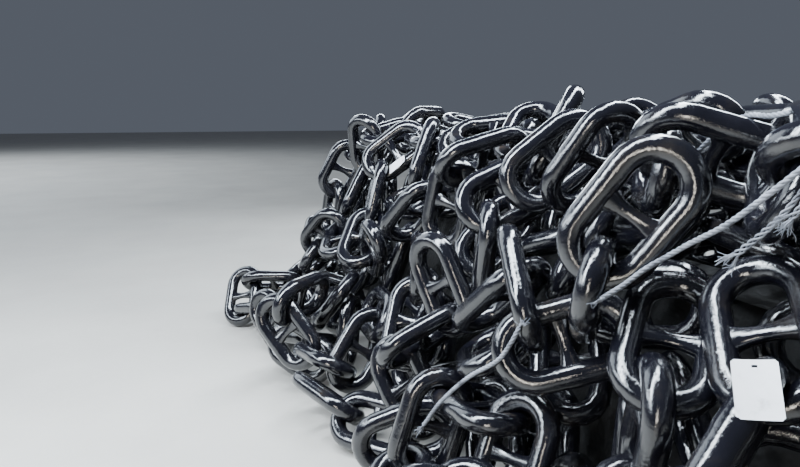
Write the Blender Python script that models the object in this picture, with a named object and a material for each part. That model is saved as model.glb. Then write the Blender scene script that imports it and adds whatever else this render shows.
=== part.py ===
"""A heap of studded anchor chain: a mound of links, its ropes and its blank tags.

The frame has X across the heap, Y along its ridge and Z up, with the floor at Z = 0.
"""
import math
import random

import bmesh
import bpy
import numpy as np
from mathutils import Matrix, Vector
from mathutils.bvhtree import BVHTree

# Driving sizes in metres
BAR = 0.081
CORE_WIDTH = 2.30
CORE_LENGTH = 5.30
CORE_HEIGHT = 1.34
HEAP_TOP = 1.63
ROPE_DIAMETER = 0.016
WIRE_DIAMETER = 0.004
TAG_WIDTH = 0.090
TAG_LENGTH = 0.130
TAG_THICKNESS = 0.0015
GAP = 0.0003

# Proportions of a studded link, in bar diameters
LINK_LENGTH = 6.0
LINK_WIDTH = 3.6
STUD_FOOT = 0.42
STUD_FOOT_HEIGHT = 0.20
STUD_WAIST = 0.27
STUD_WAIST_HEIGHT = 0.19
JOINT_BITE = 0.06

# How finely the round shapes are cut
BAR_SIDES = 6
BEND_CUTS = 5
CORE_ROUND = 36
CORE_RINGS = 9

# Swellings and hollows of the mound: place, height and reach
SWELLINGS = (
    (-0.42, -1.40, 0.09, 0.35),
    (-0.62, -2.00, 0.24, 0.32),
    (-0.86, -0.40, -0.10, 0.30),
    (-0.60, -0.56, -0.06, 0.30),
)

# The runs of chain that lie on the heap
RUNS = 22
LINKS_IN_RUN = 6
SHORTEST_RUN = 5
LINKS_BEYOND = 1
SEED = 7

# Runs that show best from the front left. Each has its first link, the links that hang on the
# far end of it and the links that hang on its near end. A link is its middle in metres, then
# the heading and rise of its length and the roll about it in degrees.
VIEW_POINT = (-2.03, -2.80, 1.56)
SHOWN_RUNS = {
    "oval": (
        ((-0.51, -1.47, 1.46), (-44, -17, 123)),
        [((-0.54, -1.62, 1.32), (165, -53, -120))],
        [],
    ),
    "centre": (
        ((-0.79, -1.24, 0.86), (-32, 19, 69)),
        [((-0.77, -1.43, 0.74), (-110, -54, 100))],
        [((-1.01, -1.27, 0.71), (7, 41, 124))],
    ),
    "hanging": (
        ((-0.71, -1.59, 0.98), (37, 34, 7)),
        [],
        [((-0.82, -1.62, 0.73), (-10, 19, 131))],
    ),
    "right": (
        ((-0.63, -1.80, 1.07), (-127, -34, 31)),
        [((-0.83, -1.95, 1.00), (175, -38, -120))],
        [],
    ),
    "crest": (
        ((-0.40, -1.12, 1.53), (-35, 25, 147)),
        [],
        [((-0.53, -0.95, 1.31), (14, 57, 99))],
    ),
    "arc": (
        ((-0.59, -0.56, 1.15), (-12, 24, 63)),
        [],
        [],
    ),
    "far_arc": (
        ((-0.54, -0.20, 1.34), (-13, 16, 131)),
        [],
        [],
    ),
    "low_arch": (
        ((-0.90, -0.42, 0.44), (-2, 24, 134)),
        [],
        [],
    ),
    "left_loop": (
        ((-1.04, 0.19, 0.39), (13, 54, 73)),
        [],
        [((-1.19, 0.12, 0.22), (61, 14, 29)), ((-1.14, -0.20, 0.19), (126, 49, -122))],
    ),
    "foot_vee": (
        ((-1.10, -0.48, 0.20), (31, 56, 92)),
        [],
        [],
    ),
    "foot_arch": (
        ((-1.30, -0.46, 0.17), (5, 34, 113)),
        [],
        [],
    ),
}

# Which way each rope leans on the heap, and the points it would pass through
DOWN = (0, 0, -1)
INWARD = (0.66, 0.65, -0.37)
ROPE_ROUTES = {
    "rope_long": (
        INWARD,
        (-0.48, -1.69, 1.36), (-0.53, -1.65, 1.30), (-0.61, -1.60, 1.23),
        (-0.66, -1.52, 1.17), (-0.67, -1.41, 1.08), (-0.68, -1.34, 1.00),
        (-0.71, -1.30, 0.95),
    ),
    "rope_crest": (
        DOWN,
        (-0.45, -1.32, 1.57), (-0.47, -1.42, 1.58), (-0.48, -1.53, 1.56),
        (-0.50, -1.62, 1.51), (-0.51, -1.69, 1.44),
    ),
    "rope_low": (
        INWARD,
        (-1.09, -0.79, 0.39), (-1.03, -0.85, 0.51), (-0.98, -0.96, 0.63),
        (-0.97, -1.10, 0.74), (-0.96, -1.16, 0.82), (-0.94, -1.18, 0.88),
    ),
}
WIRE_ROUTES = {
    "wire_far_tag": (
        DOWN,
        (-0.17, 1.06, 1.63), (-0.28, 0.97, 1.52), (-0.40, 0.89, 1.42),
        (-0.49, 0.84, 1.34),
    ),
}
# How a rope sags from what it bears on, with the rounding and smoothing in rope radii
SAG_SLOPE = 0.9
BEND_OVER = 5.0
SMOOTH_OVER = 4.0
# Between the points of a rope's line, in rope diameters
ROPE_STEP = 1.6
# Tags: middle as seen from above, heading they face, lean back from upright and turn
TAGS = {
    "tag_upper": ((-0.47, -1.77), 200, 35, 20),
    "tag_lower": ((-0.90, -1.97), 215, 40, -12),
    "tag_far": ((-0.55, 0.90), 190, 40, 40),
}

BEND_RADIUS = (LINK_WIDTH - 1) / 2
HALF_STRAIGHT = (LINK_LENGTH - LINK_WIDTH) / 2
HALF_CENTRE_LENGTH = (LINK_LENGTH - 1) / 2
# A polygon with the same area as the round bar
POLYGON_RADIUS = 0.5 * math.sqrt(2 * math.pi / BAR_SIDES / math.sin(2 * math.pi / BAR_SIDES))


def clear_scene():
    for obj in list(bpy.data.objects):
        bpy.data.objects.remove(obj)


def material(name, colour, roughness, metallic):
    made = bpy.data.materials.new(name)
    made.use_nodes = True
    shader = made.node_tree.nodes["Principled BSDF"]
    shader.inputs["Base Color"].default_value = (*colour, 1)
    shader.inputs["Roughness"].default_value = roughness
    shader.inputs["Metallic"].default_value = metallic
    made.diffuse_color = (*colour, 1)
    return made


def new_object(name, verts, faces, look):
    mesh = bpy.data.meshes.new(name)
    mesh.from_pydata([tuple(map(float, v)) for v in verts], [], faces)
    mesh.materials.append(look)
    obj = bpy.data.objects.new(name, mesh)
    bpy.context.scene.collection.objects.link(obj)
    return obj


# The mound under the visible links


def profile(inward):
    """Height over full height, from 0 at the foot to 1 on the ridge."""
    t = np.clip(1.25 * inward, 0, 1)
    return t * t * (3 - 2 * t)


def mound_height(x, y):
    half = CORE_WIDTH / 2
    ridge = (CORE_LENGTH - CORE_WIDTH) / 2
    beyond = np.maximum(np.abs(y) - ridge, 0)
    away = np.sqrt(x * x + beyond * beyond) / half
    sway = 1 + 0.04 * y / ridge + 0.02 * np.sin(2.3 * y + 1.0) * np.cos(2.0 * x)
    height = CORE_HEIGHT * sway * profile(1 - away)
    for at_x, at_y, rise, reach in SWELLINGS:
        near = np.exp(-((x - at_x) ** 2 + (y - at_y) ** 2) / reach**2)
        height = height + rise * near * np.clip(6 * (1 - away), 0, 1)
    return height


def mound_clearance(points):
    """How far points are above the mound, square to its slope."""
    x, y, z = points[..., 0], points[..., 1], points[..., 2]
    step = 0.01
    h = mound_height(x, y)
    dx = (mound_height(x + step, y) - h) / step
    dy = (mound_height(x, y + step) - h) / step
    return (z - h) / np.sqrt(1 + dx * dx + dy * dy)


def mound_normal(x, y):
    step = 0.01
    h = mound_height(x, y)
    dx = (mound_height(x + step, y) - h) / step
    dy = (mound_height(x, y + step) - h) / step
    return Vector((-dx, -dy, 1)).normalized()


def core_shape():
    """Rings of points from the foot up to the ridge, closed above and below."""
    half = CORE_WIDTH / 2
    ridge = (CORE_LENGTH - CORE_WIDTH) / 2
    verts, faces = [], []
    for ring in range(CORE_RINGS):
        away = half * (1 - 0.93 * ring / (CORE_RINGS - 1))
        for k in range(CORE_ROUND):
            turn = 2 * math.pi * (k + 0.5) / CORE_ROUND
            x = away * math.cos(turn)
            y = away * math.sin(turn) + math.copysign(ridge, math.sin(turn))
            z = float(mound_height(np.float64(x), np.float64(y))) if ring else 0.0
            verts.append((x, y, z))
    for ring in range(CORE_RINGS - 1):
        for k in range(CORE_ROUND):
            a = ring * CORE_ROUND + k
            b = ring * CORE_ROUND + (k + 1) % CORE_ROUND
            faces.append((a, b, b + CORE_ROUND))
            faces.append((a, b + CORE_ROUND, a + CORE_ROUND))
    last = (CORE_RINGS - 1) * CORE_ROUND
    for ring_start, turned in ((0, True), (last, False)):
        middle = len(verts)
        z = float(np.mean([v[2] for v in verts[ring_start:ring_start + CORE_ROUND]]))
        verts.append((0.0, 0.0, z))
        for k in range(CORE_ROUND):
            a = ring_start + k
            b = ring_start + (k + 1) % CORE_ROUND
            faces.append((b, a, middle) if turned else (a, b, middle))
    return verts, faces


# One link, in bar diameters, with its length along X and its width along Y


def link_outline():
    """Centre points of the bar and the way out from the link, once round."""
    stations = []
    for end in (1, -1):
        for k in range(BEND_CUTS + 1):
            turn = math.pi * (k / BEND_CUTS - 0.5)
            way = (end * math.cos(turn), end * math.sin(turn))
            place = (end * HALF_STRAIGHT + BEND_RADIUS * way[0], BEND_RADIUS * way[1])
            stations.append((place, way))
    return stations


def link_shape():
    verts, faces = [], []
    stations = link_outline()
    count = len(stations)
    for (x, y), (wx, wy) in stations:
        for k in range(BAR_SIDES):
            turn = 2 * math.pi * (k + 0.5) / BAR_SIDES
            out = -POLYGON_RADIUS * math.cos(turn)
            verts.append((x + out * wx, y + out * wy, POLYGON_RADIUS * math.sin(turn)))
    last = BAR_SIDES - 1
    straight_ends = (BEND_CUTS, count - 1)
    for s in range(count):
        a, b = s * BAR_SIDES, (s + 1) % count * BAR_SIDES
        for k in range(BAR_SIDES):
            if s in straight_ends and k == last:
                continue
            n = (k + 1) % BAR_SIDES
            faces.append((a + k, a + n, b + n, b + k))
    add_stud(verts, faces, straight_ends, count)
    return verts, faces


def add_stud(verts, faces, straight_ends, count):
    """The stud grows out of the inner flats of both sides and is waisted in the middle."""
    last = BAR_SIDES - 1
    inner = BEND_RADIUS - POLYGON_RADIUS * math.cos(math.pi / BAR_SIDES)
    rings = []
    for side in (1, -1):
        foot = len(verts)
        for sx, sz in ((1, -1), (1, 1), (-1, 1), (-1, -1)):
            verts.append((side * sx * STUD_FOOT, side * inner, sz * STUD_FOOT_HEIGHT))
        s = straight_ends[0] if side == 1 else straight_ends[1]
        a, b = s * BAR_SIDES, (s + 1) % count * BAR_SIDES
        flat = (a + last, a, b, b + last)
        for k in range(4):
            n = (k + 1) % 4
            faces.append((flat[k], flat[n], foot + n, foot + k))
        rings.append([foot + k for k in range(4)])
    waist = len(verts)
    for sx, sz in ((1, -1), (1, 1), (-1, 1), (-1, -1)):
        verts.append((sx * STUD_WAIST, 0, sz * STUD_WAIST_HEIGHT))
    near = rings[0]
    far = rings[1][::-1]
    for k in range(4):
        n = (k + 1) % 4
        faces.append((near[k], near[n], waist + n, waist + k))
        faces.append((waist + k, waist + n, far[n], far[k]))


def link_samples():
    """Points about a third of a bar apart along the centre of bar and stud."""
    points = []
    for end in (1, -1):
        for k in range(13):
            turn = math.pi * (k / 12 - 0.5)
            x = HALF_STRAIGHT + BEND_RADIUS * math.cos(turn)
            points.append((end * x, end * BEND_RADIUS * math.sin(turn)))
        for k in range(1, 7):
            points.append((end * HALF_STRAIGHT * (1 - 2 * k / 7), end * BEND_RADIUS))
    for k in range(1, 6):
        points.append((0, BEND_RADIUS * (1 - 2 * k / 6)))
    return np.array(points) * BAR


SAMPLES = link_samples()
SHOWN_POINTS = []


def points_of(centre, along, across):
    """Sample points of links: one row for each pose."""
    return (
        centre[:, None, :]
        + SAMPLES[None, :, :1] * along[:, None, :]
        + SAMPLES[None, :, 1:] * across[:, None, :]
    )


class Heap:
    """The links placed so far."""

    def __init__(self):
        self.centres = np.zeros((0, 3))
        self.points = np.zeros((0, len(SAMPLES), 3))

    def add(self, centre, points):
        """Adds one link and gives its number."""
        self.centres = np.concatenate([self.centres, [centre]])
        self.points = np.concatenate([self.points, [points]])
        return len(self.centres) - 1

    def move(self, numbers, way):
        self.centres[numbers] += way
        self.points[numbers] += way

    def cut_back(self, count):
        self.centres = self.centres[:count]
        self.points = self.points[:count]

    def near(self, place, reach, left_out):
        close = np.linalg.norm(self.centres - place, axis=1) < reach
        if left_out is not None:
            close[left_out] = False
        return self.points[close].reshape(-1, 3)


def least_distance(points, others):
    """Least distance from each pose's points to the other points."""
    if not len(others):
        return np.full(len(points), 9.0)
    flat = points.reshape(-1, 3)
    square = (flat**2).sum(1)[:, None] + (others**2).sum(1)[None, :] - 2 * flat @ others.T
    return np.sqrt(np.maximum(square, 0)).min(1).reshape(len(points), -1).min(1)


def next_poses(pose, rng):
    """Ways for the next link to hang on this one: bent in its plane, out of it, and rolled."""
    centre, along, across = pose
    normal = np.cross(along, across)
    bend_centre = centre + HALF_STRAIGHT * BAR * along
    centres, alongs, acrosses = [], [], []
    for bend in (-85, -60, -36, -12, 12, 36, 60, 85):
        for lift in (-75, -50, -25, 0, 25, 50, 75):
            a = math.radians(bend + rng.uniform(-8, 8))
            b = math.radians(lift + rng.uniform(-8, 8))
            in_plane = math.cos(a) * along + math.sin(a) * across
            way = math.cos(b) * in_plane + math.sin(b) * normal
            bearing = bend_centre + BEND_RADIUS * BAR * in_plane
            middle = bearing + (HALF_CENTRE_LENGTH - 1 + JOINT_BITE) * BAR * way
            tangent = -math.sin(a) * along + math.cos(a) * across
            for roll in (-22, 0, 22):
                c = math.radians(roll + rng.uniform(-4, 4))
                side = np.cross(tangent, way)
                side = math.cos(c) * side + math.sin(c) * np.cross(way, side)
                centres.append(middle)
                alongs.append(way)
                acrosses.append(side / np.linalg.norm(side))
    return np.array(centres), np.array(alongs), np.array(acrosses)


def allowed(points, heap, place, held_by=None):
    """Which poses are clear of the mound, of the floor and of every link but the one held by."""
    others = heap.near(place, 9 * BAR, held_by)
    clear = mound_clearance(points).min(1) > 0.62 * BAR
    clear &= points[..., 2].min(1) > 0.58 * BAR
    clear &= points[..., 2].max(1) < HEAP_TOP
    good = np.where(clear)[0]
    if len(good):
        good = good[least_distance(points[good], others) > 1.15 * BAR]
    return good


def hiding(points):
    """How many points of each link stand before a shown link, as seen from the view point."""
    rays = points[:, ::2].reshape(-1, 3) - VIEW_POINT
    away = np.linalg.norm(rays, axis=1)
    shown = shown_points() - VIEW_POINT
    shown_away = np.linalg.norm(shown, axis=1)
    level = (rays / away[:, None]) @ (shown / shown_away[:, None]).T
    before = (1 - level) * 2 * away[:, None] ** 2 < BAR**2
    before &= away[:, None] < shown_away[None, :] - 0.8 * BAR
    return before.any(1).reshape(len(points), -1).sum(1)


def cost(centres, points, heap, rng):
    """Low for a link that hugs the mound, where few other links are."""
    lift = mound_clearance(points).mean(1) / BAR
    crowd = np.zeros(len(centres))
    if len(heap.centres):
        away = np.linalg.norm(centres[:, None] - heap.centres[None], axis=2)
        crowd = np.exp(-((away / (3.2 * BAR)) ** 2)).sum(1)
    half = CORE_WIDTH / 2
    ridge = (CORE_LENGTH - CORE_WIDTH) / 2
    beyond = np.maximum(np.abs(centres[:, 1]) - ridge, 0)
    outside = np.maximum(np.hypot(centres[:, 0], beyond) - half - 1.5 * BAR, 0) / BAR
    luck = np.array([rng.uniform(0, 0.6) for _ in centres])
    return lift + 1.1 * crowd + 2.0 * outside + 0.7 * hiding(points) + luck


def first_poses(x, y, rng):
    """A link leaning on the mound at this place, at several headings, rolls and heights."""
    up = np.array(mound_normal(x, y))
    base = np.array([x, y, float(mound_height(np.float64(x), np.float64(y)))])
    level = np.cross(up, (0, 0, 1.0) if abs(up[2]) < 0.98 else (0, 1.0, 0))
    level /= np.linalg.norm(level)
    steep = np.cross(up, level)
    centres, alongs, acrosses = [], [], []
    for _ in range(120):
        a = rng.uniform(0, 2 * math.pi)
        tilt = math.radians(rng.uniform(-25, 25))
        roll = math.radians(rng.choice((-1, 1)) * rng.uniform(15, 65))
        flat = math.cos(a) * level + math.sin(a) * steep
        along = math.cos(tilt) * flat + math.sin(tilt) * up
        side = np.cross(up, along)
        side /= np.linalg.norm(side)
        across = math.cos(roll) * side + math.sin(roll) * np.cross(along, side)
        centres.append(base + up * BAR * rng.uniform(0.8, 3.2))
        alongs.append(along)
        acrosses.append(across)
    return np.array(centres), np.array(alongs), np.array(acrosses)


def pose_of(place, angles):
    """Middle, length axis and width axis of a link from its heading, rise and roll."""
    heading, rise, roll = (math.radians(v) for v in angles)
    level = np.array([math.cos(heading), math.sin(heading), 0])
    along = math.cos(rise) * level + np.array([0, 0, math.sin(rise)])
    side = np.array([-math.sin(heading), math.cos(heading), 0])
    across = math.cos(roll) * side + math.sin(roll) * np.cross(along, side)
    return np.array(place), along, across


def shown_points():
    """Points on every link of the shown runs where it would best lie."""
    if not SHOWN_POINTS:
        for first, ahead, behind in SHOWN_RUNS.values():
            poses = [pose_of(*link) for link in (first, *ahead, *behind)]
            SHOWN_POINTS.extend(points_of(*(np.array(part) for part in zip(*poses)))[:, ::2])
    return np.concatenate(SHOWN_POINTS)


def lifted(pose):
    """The same link where it is and then farther and farther out of the mound."""
    place, along, across = pose
    up = np.array(mound_normal(place[0], place[1]))
    steps = np.arange(0, 14)[:, None] * 0.15 * BAR
    count = len(steps)
    return place + steps * up, np.tile(along, (count, 1)), np.tile(across, (count, 1))


def off_guide(centres, alongs, acrosses, guide):
    """How far each pose is from the guide, in bars, with its turning counted as well."""
    place, along, across = pose_of(*guide)
    away = np.linalg.norm(centres - place, axis=1) / BAR
    return away + 6 * (1 - alongs @ along) + 3 * (1 - np.abs(acrosses @ across))


def first_link(starts, heap, rng=None):
    """The first of these poses that is clear or, with luck to draw on, the best of them."""
    points = points_of(*starts)
    good = allowed(points, heap, starts[0].mean(0))
    if not len(good):
        return None
    best = good[0]
    if rng:
        best = good[np.argmin(cost(starts[0][good], points[good], heap, rng))]
    number = heap.add(starts[0][best], points[best])
    return starts[0][best], starts[1][best], starts[2][best], number


def extend(run, heap, links, guides, rng):
    """Hangs more links on the last one of a run, the first of them near the guides."""
    for step in range(links):
        guided = step < len(guides)
        tried = [next_poses(run[-1][:3], rng) for _ in range(5 if guided else 1)]
        centres, alongs, acrosses = (np.concatenate(part) for part in zip(*tried))
        points = points_of(centres, alongs, acrosses)
        good = allowed(points, heap, run[-1][0], run[-1][3])
        if len(good):
            last = heap.points[run[-1][3]]
            good = good[least_distance(points[good], last) > 0.86 * BAR]
        if not len(good):
            break
        if guided:
            price = off_guide(centres[good], alongs[good], acrosses[good], guides[step])
        else:
            price = cost(centres[good], points[good], heap, rng)
        best = good[np.argmin(price)]
        number = heap.add(centres[best], points[best])
        run.append((centres[best], alongs[best], acrosses[best], number))


def turned_round(run):
    """The same links in the other order, each with its ends changed over."""
    return [(c, -u, -w, number) for c, u, w, number in run[::-1]]


def shown_runs(heap, rng):
    """The first link of every run, then the links guided from it, then the links beyond."""
    starts = [first_link(lifted(pose_of(*first)), heap) for first, _, _ in SHOWN_RUNS.values()]
    runs = []
    for start, (_, ahead, behind) in zip(starts, SHOWN_RUNS.values()):
        if start is None:
            continue
        run = [start]
        extend(run, heap, len(ahead), ahead, rng)
        run = turned_round(run)
        extend(run, heap, len(behind), behind, rng)
        runs.append(run)
    for run in runs:
        extend(run, heap, LINKS_BEYOND, [], rng)
        run[:] = turned_round(run)
        extend(run, heap, LINKS_BEYOND, [], rng)
    return runs


def emptiest_place(heap, rng):
    """The place on the mound that is farthest from every link."""
    half = CORE_WIDTH / 2
    best, place = -1, (0.0, 0.0)
    for _ in range(260):
        x = rng.uniform(-half, half)
        y = rng.uniform(-CORE_LENGTH / 2, CORE_LENGTH / 2)
        z = float(mound_height(np.float64(x), np.float64(y)))
        if z < 0.02:
            continue
        spot = np.array([x, y, z])
        away = np.linalg.norm(heap.centres - spot, axis=1).min() if len(heap.centres) else 1
        away *= 0.65 if x > 0.35 else 1
        away *= 1.5 if np.linalg.norm(spot - VIEW_POINT) < 2.4 else 1
        if away > best:
            best, place = away, (x, y)
    return place


# Meshes of runs and how they settle


def run_shape(run, shape):
    """Points and faces of each link of a run."""
    verts, faces = shape
    local = np.array(verts) * BAR
    made = []
    for centre, along, across, _ in run:
        turned = np.stack([along, across, np.cross(along, across)], axis=1)
        made.append((local @ turned.T + centre, faces))
    return made


def tree_of(shapes, shift=(0, 0, 0)):
    verts, faces = [], []
    for points, polygons in shapes:
        start = len(verts)
        verts += [tuple(map(float, point)) for point in np.array(points) + shift]
        faces += [tuple(start + k for k in p) for p in polygons]
    return BVHTree.FromPolygons(verts, faces)


def settle(shapes, ground, fall=(0, 0, -1)):
    """How far shapes move against their fall until they rest, a hair above what carries them."""
    def hits(shift):
        return bool(tree_of(shapes, (GAP - shift) * np.array(fall)).overlap(ground))

    step = 0.004
    shift = 0.0
    while hits(shift) and shift < 0.3:
        shift += step
    while not hits(shift - step) and shift > -HEAP_TOP:
        shift -= step
    low, high = shift - step, shift
    for _ in range(9):
        middle = (low + high) / 2
        if hits(middle):
            low = middle
        else:
            high = middle
    return high


def floor_shape():
    far = 2 * CORE_LENGTH
    corners = [(-far, -far, 0), (far, -far, 0), (far, far, 0), (-far, far, 0)]
    return np.array(corners, float), [(0, 1, 2, 3)]


def joined_mesh(name, shapes, look):
    verts, faces = [], []
    for points, polygons in shapes:
        start = len(verts)
        verts += list(points)
        faces += [tuple(start + k for k in p) for p in polygons]
    return new_object(name, verts, faces, look)


def keep_largest_shell(mesh):
    """Fills the sealed pockets that a joint's flats can enclose, by dropping their shells."""
    bm = bmesh.new()
    bm.from_mesh(mesh)
    shells = []
    left = set(bm.faces)
    while left:
        shell = [left.pop()]
        for face in shell:
            for edge in face.edges:
                for other in edge.link_faces:
                    if other in left:
                        left.remove(other)
                        shell.append(other)
        shells.append(shell)
    shells.sort(key=len)
    for shell in shells[:-1]:
        bmesh.ops.delete(bm, geom=shell, context="FACES")
    bm.to_mesh(mesh)
    bm.free()


def build_run(name, shapes, look):
    """Every other link in one mesh, joined by a Boolean with the links between."""
    evens = joined_mesh(name + "_evens", shapes[::2], look)
    odds = joined_mesh(name + "_odds", shapes[1::2], look)
    union = evens.modifiers.new("join", "BOOLEAN")
    union.operation = "UNION"
    union.solver = "EXACT"
    union.object = odds
    graph = bpy.context.evaluated_depsgraph_get()
    mesh = bpy.data.meshes.new_from_object(evens.evaluated_get(graph))
    bpy.data.objects.remove(evens)
    bpy.data.objects.remove(odds)
    keep_largest_shell(mesh)
    mesh.name = name
    mesh.shade_smooth()
    mesh.set_sharp_from_angle(angle=math.radians(70))
    run = bpy.data.objects.new(name, mesh)
    bpy.context.scene.collection.objects.link(run)
    return run


def moved(run, way, heap):
    heap.move([number for *_, number in run], way)
    return [(c + way, u, w, number) for c, u, w, number in run]


def lowered(run, link, ground, heap):
    """The run after it has come down on what carries it and, on the floor, slid to the heap."""
    tree = tree_of(ground)
    run = moved(run, np.array([0, 0, settle(run_shape(run, link), tree)]), heap)
    shapes = run_shape(run, link)
    if min(points[:, 2].min() for points, _ in shapes) > 2 * GAP:
        return run
    middle = np.mean([c for c, *_ in run], axis=0)
    inward = np.array([-math.copysign(1, middle[0]), 0, 0])
    return moved(run, -settle(shapes, tree, inward) * inward, heap)


def rest_together(runs, link, ground, heap):
    """Lowers each of these runs onto the others and the mound, from the lowest run up."""
    runs = sorted(runs, key=lambda run: min(place[2] for place, *_ in run))
    for _ in range(2):
        for k, run in enumerate(runs):
            others = [other for other in runs if other is not run]
            shapes = [shape for other in others for shape in run_shape(other, link)]
            runs[k] = lowered(run, link, ground + shapes, heap)
    return runs


def build_chain(link, ground, look):
    rng = random.Random(SEED)
    heap = Heap()
    runs = rest_together(shown_runs(heap, rng), link, ground, heap)
    for run in runs:
        ground += run_shape(run, link)
    tries = 0
    while len(runs) < RUNS and tries < 8 * RUNS:
        tries += 1
        grown = len(heap.centres)
        start = first_link(first_poses(*emptiest_place(heap, rng), rng), heap, rng)
        if start is None:
            continue
        run = [start]
        extend(run, heap, LINKS_IN_RUN - 1, [], rng)
        if len(run) < SHORTEST_RUN:
            heap.cut_back(grown)
            continue
        run = lowered(run, link, ground, heap)
        ground += run_shape(run, link)
        runs.append(run)
    for number, run in enumerate(runs, 1):
        build_run(f"chain_run_{number:02d}", run_shape(run, link), look)


# Ropes, wires and tags


def smooth_route(route, spacing):
    """Points evenly spaced along a smooth curve through the route's points."""
    ends = [2 * np.array(route[0]) - np.array(route[1]), *map(np.array, route)]
    ends.append(2 * np.array(route[-1]) - np.array(route[-2]))
    fine = []
    for a, b, c, d in zip(ends, ends[1:], ends[2:], ends[3:]):
        for t in np.linspace(0, 1, 20, endpoint=False):
            square = (2 * a - 5 * b + 4 * c - d) * t**2
            cube = (3 * b - a - 3 * c + d) * t**3
            fine.append(0.5 * (2 * b + (c - a) * t + square + cube))
    fine.append(np.array(route[-1]))
    fine = np.array(fine)
    along = np.concatenate([[0], np.cumsum(np.linalg.norm(np.diff(fine, axis=0), axis=1))])
    at = np.linspace(0, along[-1], max(4, int(along[-1] / spacing) + 1))
    return np.stack([np.interp(at, along, fine[:, k]) for k in range(3)], axis=1)


def drape(line, ground, radius, fall):
    """The line, moved along its fall to bear on what stands highest there and sag between."""
    tree = tree_of(ground)
    fall = Vector(fall).normalized()
    side = fall.orthogonal().normalized()
    other = fall.cross(side)
    reach = 2.5
    levels = []
    for place in line:
        level = -9.0
        for ring, count in ((0, 1), (0.55, 6), (0.95, 8)):
            for k in range(count):
                turn = 2 * math.pi * k / count
                edge = math.cos(turn) * side + math.sin(turn) * other
                start = Vector(place) + ring * radius * edge - reach * fall
                hit = tree.ray_cast(start, fall)[0]
                if hit is not None:
                    level = max(level, radius * math.sqrt(1 - ring * ring) - hit.dot(fall))
        levels.append(level)
    fall = np.array(fall)
    flat = line - np.outer(line @ fall, fall)
    along = np.concatenate([[0], np.cumsum(np.linalg.norm(np.diff(flat, axis=0), axis=1))])
    away = np.abs(along[:, None] - along[None, :])
    # A rounded sag on both sides of each place the line bears on, then a smoothing over it
    rounding = BEND_OVER * radius
    sag = SAG_SLOPE * (np.sqrt(away**2 + rounding**2) - rounding)
    bearing = (np.array(levels)[None, :] - sag).max(1)
    share = np.exp(-((away / (SMOOTH_OVER * radius)) ** 2))
    bearing = share @ bearing / share.sum(1)
    return flat - np.outer(bearing, fall)


def tube(name, points, diameter, look):
    curve = bpy.data.curves.new(name, "CURVE")
    curve.dimensions = "3D"
    curve.bevel_depth = diameter / 2
    curve.bevel_resolution = 2
    curve.use_fill_caps = True
    line = curve.splines.new("POLY")
    line.points.add(len(points) - 1)
    for point, place in zip(line.points, points):
        point.co = (*map(float, place), 1)
    curve.materials.append(look)
    obj = bpy.data.objects.new(name, curve)
    bpy.context.scene.collection.objects.link(obj)
    return obj


def shape_of(obj):
    """Points in the world and faces of an object as it is seen."""
    graph = bpy.context.evaluated_depsgraph_get()
    seen = obj.evaluated_get(graph)
    mesh = seen.to_mesh()
    points = np.array([obj.matrix_world @ v.co for v in mesh.vertices])
    faces = [tuple(p.vertices) for p in mesh.polygons]
    seen.to_mesh_clear()
    return points, faces


def build_rope(name, fall, route, diameter, ground, look):
    line = drape(smooth_route(route, diameter / 2), ground, diameter / 2 + 0.002, fall)
    steps = np.linalg.norm(np.diff(line, axis=0), axis=1)
    along = np.concatenate([[0], np.cumsum(steps)])
    at = np.linspace(0, along[-1], max(4, int(along[-1] / (ROPE_STEP * diameter)) + 1))
    line = np.stack([np.interp(at, along, line[:, k]) for k in range(3)], axis=1)
    rope = tube(name, line, diameter, look)
    fall = Vector(fall).normalized()
    shift = settle([shape_of(rope)], tree_of(ground), fall)
    for point in rope.data.splines[0].points:
        point.co -= shift * Vector((*fall, 0))
    ground.append(shape_of(rope))


def build_tag(name, middle, facing, lean, turn, ground, look):
    """A flat plate that leans back on the links under it."""
    w, h, t = TAG_WIDTH / 2, TAG_LENGTH / 2, TAG_THICKNESS / 2
    corners = [(x, y, z) for x in (-w, w) for y in (-t, t) for z in (-h, h)]
    faces = [(0, 1, 3, 2), (4, 6, 7, 5), (0, 4, 5, 1), (2, 3, 7, 6), (0, 2, 6, 4), (1, 5, 7, 3)]
    frame = (
        Matrix.Rotation(math.radians(facing + 90), 3, "Z")
        @ Matrix.Rotation(math.radians(-lean), 3, "X")
        @ Matrix.Rotation(math.radians(turn), 3, "Y")
    )
    points = np.array([frame @ Vector(c) for c in corners])
    points += (*middle, HEAP_TOP + 3 * BAR)
    shift = settle([(points, faces)], tree_of(ground))
    points[:, 2] += shift
    new_object(name, points, faces, look)
    ground.append((points, faces))


def main():
    clear_scene()
    paint = material("black_paint", (0.012, 0.012, 0.013), 0.22, 0.0)
    shade = material("hidden_links", (0.010, 0.010, 0.011), 0.5, 0.0)
    grey = material("grey_rope", (0.22, 0.22, 0.25), 0.75, 0.0)
    steel = material("tie_wire", (0.35, 0.35, 0.37), 0.4, 0.8)
    white = material("white_tag", (0.80, 0.81, 0.84), 0.5, 0.0)
    core_verts, core_faces = core_shape()
    core = new_object("core", core_verts, core_faces, shade)
    core.data.set_sharp_from_angle(angle=math.radians(40))
    ground = [(np.array(core_verts), core_faces), floor_shape()]
    build_chain(link_shape(), ground, paint)
    for name, (fall, *route) in ROPE_ROUTES.items():
        build_rope(name, fall, route, ROPE_DIAMETER, ground, grey)
    for name, spot in TAGS.items():
        build_tag(name, *spot, ground, white)
    for name, (fall, *route) in WIRE_ROUTES.items():
        build_rope(name, fall, route, WIRE_DIAMETER, ground, steel)


main()
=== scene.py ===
"""Looks for a heap of studded anchor chain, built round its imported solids.

The frame has X across the heap, Y along its ridge and Z up, in metres, with the floor at Z = 0.
"""

import math
import random

import bpy
import numpy as np
from mathutils import Matrix, Vector
from mathutils.bvhtree import BVHTree


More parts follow.
